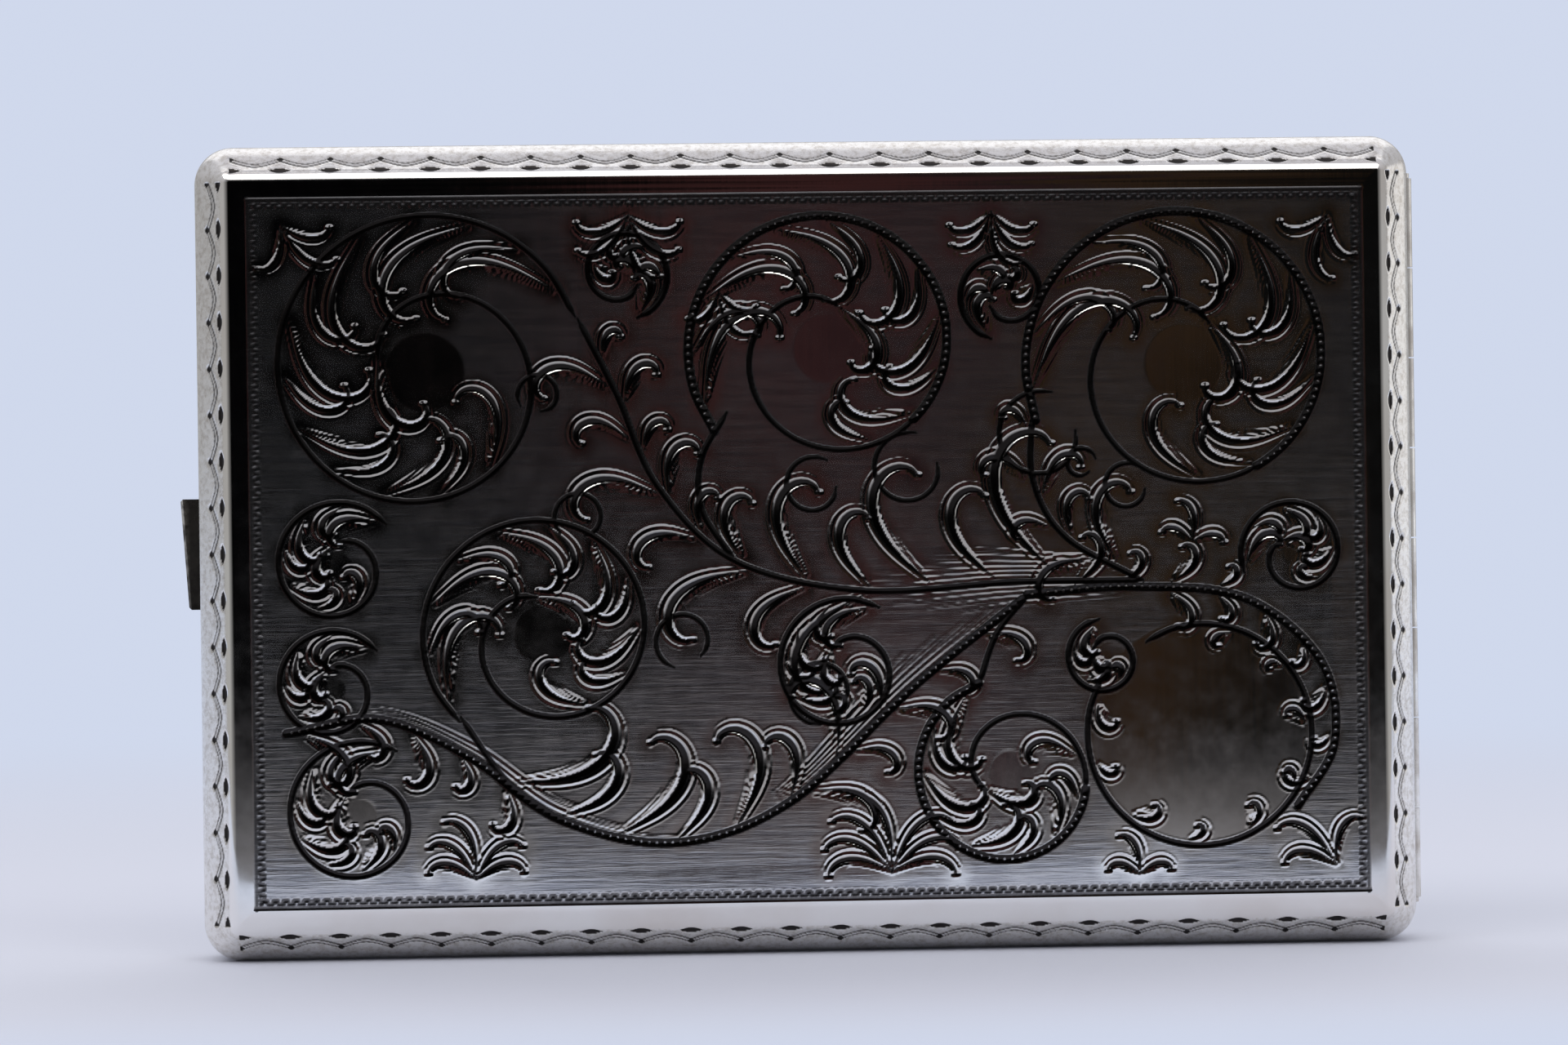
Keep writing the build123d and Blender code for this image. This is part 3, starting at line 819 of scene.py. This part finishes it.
def plain_metal(name, low, high, rough_low, rough_high, stretch=(1, 1, 1), scale=500, depth=0.00001):
    """A metal whose colour and roughness wander between two values, with a fine grain."""
    material, nodes, links, shader, where = new_material(name)
    patch = noise(nodes, links, where, scale, 5)
    grain = noise(nodes, links, where, 4000, 3, stretch=stretch)
    links.new(ramp(nodes, links, patch, [(0.3, low), (0.7, high)]), shader.inputs["Base Color"])
    links.new(ramp(nodes, links, patch, [(0.3, rough_high), (0.7, rough_low)]), shader.inputs["Roughness"])
    socket(shader, "Metallic", 1.0)
    links.new(bump(nodes, links, grain, depth, 0.5), shader.inputs["Normal"])
    return material


@once
def material_hinge():
    """Worn silver tube with dull brown tarnish."""
    return plain_metal("hinge_silver", (0.52, 0.48, 0.43), (0.88, 0.86, 0.83), 0.14, 0.35)


@once
def material_push():
    """Dark tarnished silver, rubbed bright where a thumb meets its outer edges."""
    material = plain_metal("push_silver", (0.022, 0.020, 0.018), (0.13, 0.12, 0.105), 0.22, 0.45)
    nodes, links = material.node_tree.nodes, material.node_tree.links
    where = nodes["Texture Coordinate"].outputs["Object"]
    parts = nodes.new("ShaderNodeSeparateXYZ")
    links.new(where, parts.inputs["Vector"])
    low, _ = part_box("push_piece")
    reach = nodes.new("ShaderNodeMapRange")
    reach.inputs["From Min"].default_value = low.x + 0.00075
    reach.inputs["From Max"].default_value = low.x + 0.00015
    links.new(parts.outputs["X"], reach.inputs["Value"])
    rub = noise(nodes, links, where, 1500, 4)
    worn = math_node(nodes, links, "MULTIPLY", reach.outputs["Result"], ramp(
        nodes, links, rub, [(0.35, 0.0), (0.62, 0.8)]))
    shader = nodes["Principled BSDF"]
    tarnish = shader.inputs["Base Color"].links[0].from_socket
    links.new(mix(nodes, links, worn, tarnish, (0.62, 0.58, 0.50)), shader.inputs["Base Color"])
    return material


@once
def material_rivet():
    """Peened nickel silver."""
    return plain_metal("rivet_metal", (0.55, 0.50, 0.42), (0.75, 0.70, 0.60), 0.25, 0.4)


@once
def material_spring():
    """Tempered steel strip with lengthwise grain."""
    return plain_metal("spring_metal", (0.30, 0.29, 0.28), (0.52, 0.52, 0.53), 0.2, 0.35,
                       stretch=(1, 1, 0.05))


@once
def material_elastic():
    """Ribbed elastic webbing."""
    material, nodes, links, shader, where = new_material("elastic")
    patch = noise(nodes, links, where, 900, 5)
    colour = ramp(nodes, links, patch, [(0.3, (0.36, 0.28, 0.18)), (0.7, (0.52, 0.43, 0.29))])
    links.new(colour, shader.inputs["Base Color"])
    socket(shader, "Roughness", 0.85)
    socket(shader, "Sheen Weight", 0.3)
    fuzz = noise(nodes, links, where, 6000, 3)
    links.new(bump(nodes, links, fuzz, 0.00005, 0.6), shader.inputs["Normal"])
    return material


def fade(nodes, links, value, start, end):
    """A smooth rise from 0 where a value is start to 1 where it is end."""
    node = nodes.new("ShaderNodeMapRange")
    node.interpolation_type = "SMOOTHSTEP"
    node.inputs["From Min"].default_value = start
    node.inputs["From Max"].default_value = end
    links.new(value, node.inputs["Value"])
    return node.outputs["Result"]


def material_stage():
    """A pale matt sheet: lit under and round the case, and evenly bright further out, like a sweep."""
    material, nodes, links, shader, where = new_material("studio_surface")
    patch = noise(nodes, links, where, 6, 3)
    links.new(ramp(nodes, links, patch, [(0.3, (0.80, 0.825, 0.92)), (0.7, (0.82, 0.84, 0.94))]),
              shader.inputs["Base Color"])
    socket(shader, "Roughness", 0.6)
    socket(shader, "Specular IOR Level", 0.05)
    glow = nodes.new("ShaderNodeEmission")
    glow.inputs["Color"].default_value = (*BACKDROP, 1)
    far = nodes.new("ShaderNodeVectorMath")
    far.operation = "LENGTH"
    links.new(where, far.inputs[0])
    parts = nodes.new("ShaderNodeSeparateXYZ")
    links.new(where, parts.inputs["Vector"])
    out = fade(nodes, links, far.outputs["Value"], 0.08, 0.40)
    ahead = fade(nodes, links, parts.outputs["Y"], -0.030, -0.082)
    blend = nodes.new("ShaderNodeMixShader")
    links.new(math_node(nodes, links, "MAXIMUM", out, ahead), blend.inputs["Fac"])
    links.new(shader.outputs["BSDF"], blend.inputs[1])
    links.new(glow.outputs["Emission"], blend.inputs[2])
    links.new(blend.outputs["Shader"], nodes["Material Output"].inputs["Surface"])
    return material


# ------------------------------------------------------------------------------- pieces

SHEET_WAVE = 0.016
BACKDROP = (0.63, 0.69, 0.84)
KNUCKLE_SEAT = 0.92
HINGE_END_ROOM = 0.8        # how far the seat for the hinge runs on past the pin's heads
SLOT_HALF_LENGTH = 4.68
SLOT_NEAR = 1.19
SLOT_FAR = 3.6

front_cover = cover("engraved_front_cover", -1, engrave_front(), has_slot=False)
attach(front_cover, "front_half")
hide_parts("front_shell")

back_cover = cover("engraved_back_cover", 1, engrave_back(), has_slot=True)
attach(back_cover, "back_half")
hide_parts("back_shell")

def webbing(name, node):
    """Ribbed elastic webbing filling a plain strap's solid: ribs run along it, picks across it."""
    low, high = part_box(node)
    rib, pick = 0.00075, 0.0006
    half_w, half_t = (high.x - low.x) / 2, (high.y - low.y) / 2
    mid_x, mid_y = (low.x + high.x) / 2, (low.y + high.y) / 2
    across, rows = 72, 300
    x = np.linspace(-half_w, half_w, across + 1)
    z = np.linspace(low.z, high.z, rows + 1)
    gx, gz = np.meshgrid(x, z)
    selvedge = np.sqrt(np.clip(1 - np.abs(gx / half_w) ** 8, 0, 1))
    ribs = np.abs(np.cos(np.pi * gx / rib))
    picks = np.cos(2 * np.pi * gz / pick) * np.sign(np.cos(np.pi * gx / rib))
    height = half_t * selvedge * (0.74 + 0.16 * ribs + 0.10 * picks)
    front = np.stack([gx + mid_x, mid_y - height, gz], -1)
    back = np.stack([gx + mid_x, mid_y + height, gz], -1)[:, -2:0:-1]
    loops = np.concatenate([front, back], 1)
    around = loops.shape[1]
    index = np.arange((rows + 1) * around).reshape(rows + 1, around)
    beside = np.roll(index, -1, 1)
    quads = np.stack([index[:-1], beside[:-1], beside[1:], index[1:]], -1).reshape(-1, 4).tolist()
    mesh = bpy.data.meshes.new(name)
    mesh.from_pydata(loops.reshape(-1, 3), [], quads + [index[0, ::-1].tolist(), index[-1].tolist()])
    mesh.polygons.foreach_set("use_smooth", [True] * len(mesh.polygons))
    mesh.materials.append(material_elastic())
    piece = bpy.data.objects.new(name, mesh)
    scene.collection.objects.link(piece)
    return piece


strap = webbing("elastic_card_strap", "card_strap")
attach(strap, "back_half")
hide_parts("card_strap")

FINISHES = {"gilt_silver": material_gilt, "hinge_silver": material_hinge, "push_silver": material_push,
            "rivet_metal": material_rivet, "spring_metal": material_spring, "elastic": material_elastic,
            "engraved_silver": material_engraved}
for part in frame["record"]["subparts"]:
    node = frame["nodes"][part["node"]]
    node.data.materials.clear()
    node.data.materials.append(FINISHES[part["material_slot"]]())


# ------------------------------------------------------------------------------ studio

def stage_sheet():
    """A pale sheet that lies under the case and ends a little way in front of it."""
    front, back, half = -0.085, 3.0, 2.0
    vertices = [(-half, front, 0), (half, front, 0), (half, back, 0), (-half, back, 0)]
    mesh = bpy.data.meshes.new("studio_sheet")
    mesh.from_pydata(vertices, [], [(0, 1, 2, 3)])
    mesh.materials.append(material_stage())
    sheet = bpy.data.objects.new("studio_sheet", mesh)
    scene.collection.objects.link(sheet)


def area_light(name, place, target, size, power, colour):
    light = bpy.data.lights.new(name, "AREA")
    light.shape = "RECTANGLE"
    light.size, light.size_y = size
    light.energy = power
    light.color = colour
    lamp = bpy.data.objects.new(name, light)
    lamp.location = place
    lamp.visible_camera = False
    lamp.rotation_euler = (Vector(target) - Vector(place)).to_track_quat("-Z", "Y").to_euler()
    scene.collection.objects.link(lamp)


def floor_pool(name, place, power):
    """A soft round pool of light on the sheet beside the case, which the lower ends of its bevels mirror."""
    light = bpy.data.lights.new(name, "SPOT")
    light.energy = power
    light.spot_size = math.radians(42)
    light.spot_blend = 1.0
    light.shadow_soft_size = 0.05
    lamp = bpy.data.objects.new(name, light)
    lamp.location = place
    lamp.visible_camera = False
    scene.collection.objects.link(lamp)


def world_light():
    """A pale room above, beside and behind, and a dark one in the narrow cone where the front cover looks."""
    world = bpy.data.worlds.new("studio")
    scene.world = world
    world.use_nodes = True
    nodes, links = world.node_tree.nodes, world.node_tree.links
    background = nodes["Background"]
    where = nodes.new("ShaderNodeTexCoord").outputs["Generated"]
    parts = nodes.new("ShaderNodeSeparateXYZ")
    links.new(where, parts.inputs["Vector"])
    ahead = math_node(nodes, links, "MULTIPLY", parts.outputs["Y"], -1.0)
    dark_cone = ramp(nodes, links, ahead, [(0.50, 0.0), (0.80, 1.0)])

    # The dark room: nearly black on the left, brown in the middle, olive on the right
    across = math_node(nodes, links, "MULTIPLY_ADD", parts.outputs["X"], 3.3)
    across.node.inputs[2].default_value = 0.34
    wander = noise(nodes, links, where, 16, 4)
    drift = math_node(nodes, links, "MULTIPLY_ADD", wander, 0.6)
    drift.node.inputs[2].default_value = -0.3
    room = ramp(nodes, links, math_node(nodes, links, "ADD", across, drift), [
        (0.16, (0.0006, 0.0006, 0.0008)), (0.34, (0.002, 0.002, 0.002)), (0.48, (0.040, 0.015, 0.015)),
        (0.62, (0.008, 0.006, 0.008)), (0.76, (0.026, 0.015, 0.008)), (0.90, (0.003, 0.003, 0.003))])
    fall = ramp(nodes, links, math_node(nodes, links, "MULTIPLY", parts.outputs["Z"], -1.0), [
        (0.048, 0.0), (0.072, 0.26), (0.092, 1.0)])
    room = mix(nodes, links, fall, room, (0.36, 0.36, 0.39))

    # The pale room: dimmer at the sides than overhead
    rise = math_node(nodes, links, "MULTIPLY_ADD", parts.outputs["Z"], 0.5)
    rise.node.inputs[2].default_value = 0.5
    pale = ramp(nodes, links, rise, [(0.5, (0.40, 0.40, 0.40)), (0.62, (0.46, 0.46, 0.48)),
                                     (0.85, (0.60, 0.61, 0.66)), (1.0, (0.60, 0.60, 0.66))])
    seen = mix(nodes, links, dark_cone, pale, room)
    rays = nodes.new("ShaderNodeLightPath")
    links.new(mix(nodes, links, rays.outputs["Is Camera Ray"], seen, BACKDROP), background.inputs["Color"])


def studio_camera():
    """A long lens level with the case, a little to its left and rolled by a degree."""
    distance, lens = 0.3408, 100.0
    target = Vector(((CASE_X - 2.1) * MM, -DEPTH * MM, (CASE_Z + 1.9) * MM))
    azimuth, elevation, roll = math.radians(-2.4), math.radians(0.0), math.radians(0.8)
    back = Vector((math.sin(azimuth) * math.cos(elevation), -math.cos(azimuth) * math.cos(elevation),
                   math.sin(elevation)))
    camera = bpy.data.cameras.new("camera")
    camera.lens = lens
    camera.sensor_width = 36.0
    camera.clip_start = 0.01
    eye = bpy.data.objects.new("camera", camera)
    aim = (-back).to_track_quat("-Z", "Y").to_matrix().to_4x4()
    eye.matrix_world = Matrix.Translation(target + back * distance) @ aim @ Matrix.Rotation(-roll, 4, "Z")
    scene.collection.objects.link(eye)
    scene.camera = eye


stage_sheet()
area_light("front_softbox", (-0.1, -0.45, 0.75), (0, 0, 0.03), (1.3, 0.4), 2.7, (1.0, 0.99, 0.97))
area_light("right_softbox", (0.75, 0.25, 0.12), (0, 0, 0.03), (0.5, 0.34), 0.26, (1.0, 0.99, 0.98))
area_light("back_softbox", (0.0, 0.9, 1.2), (0, 0, 0.03), (2.0, 1.2), 4.6, (0.98, 0.99, 1.0))
floor_pool("right_pool", (0.27, 0.06, 0.5), 4.0)
floor_pool("left_pool", (-0.27, 0.06, 0.5), 0.8)
world_light()
studio_camera()
scene.view_settings.view_transform = "Standard"
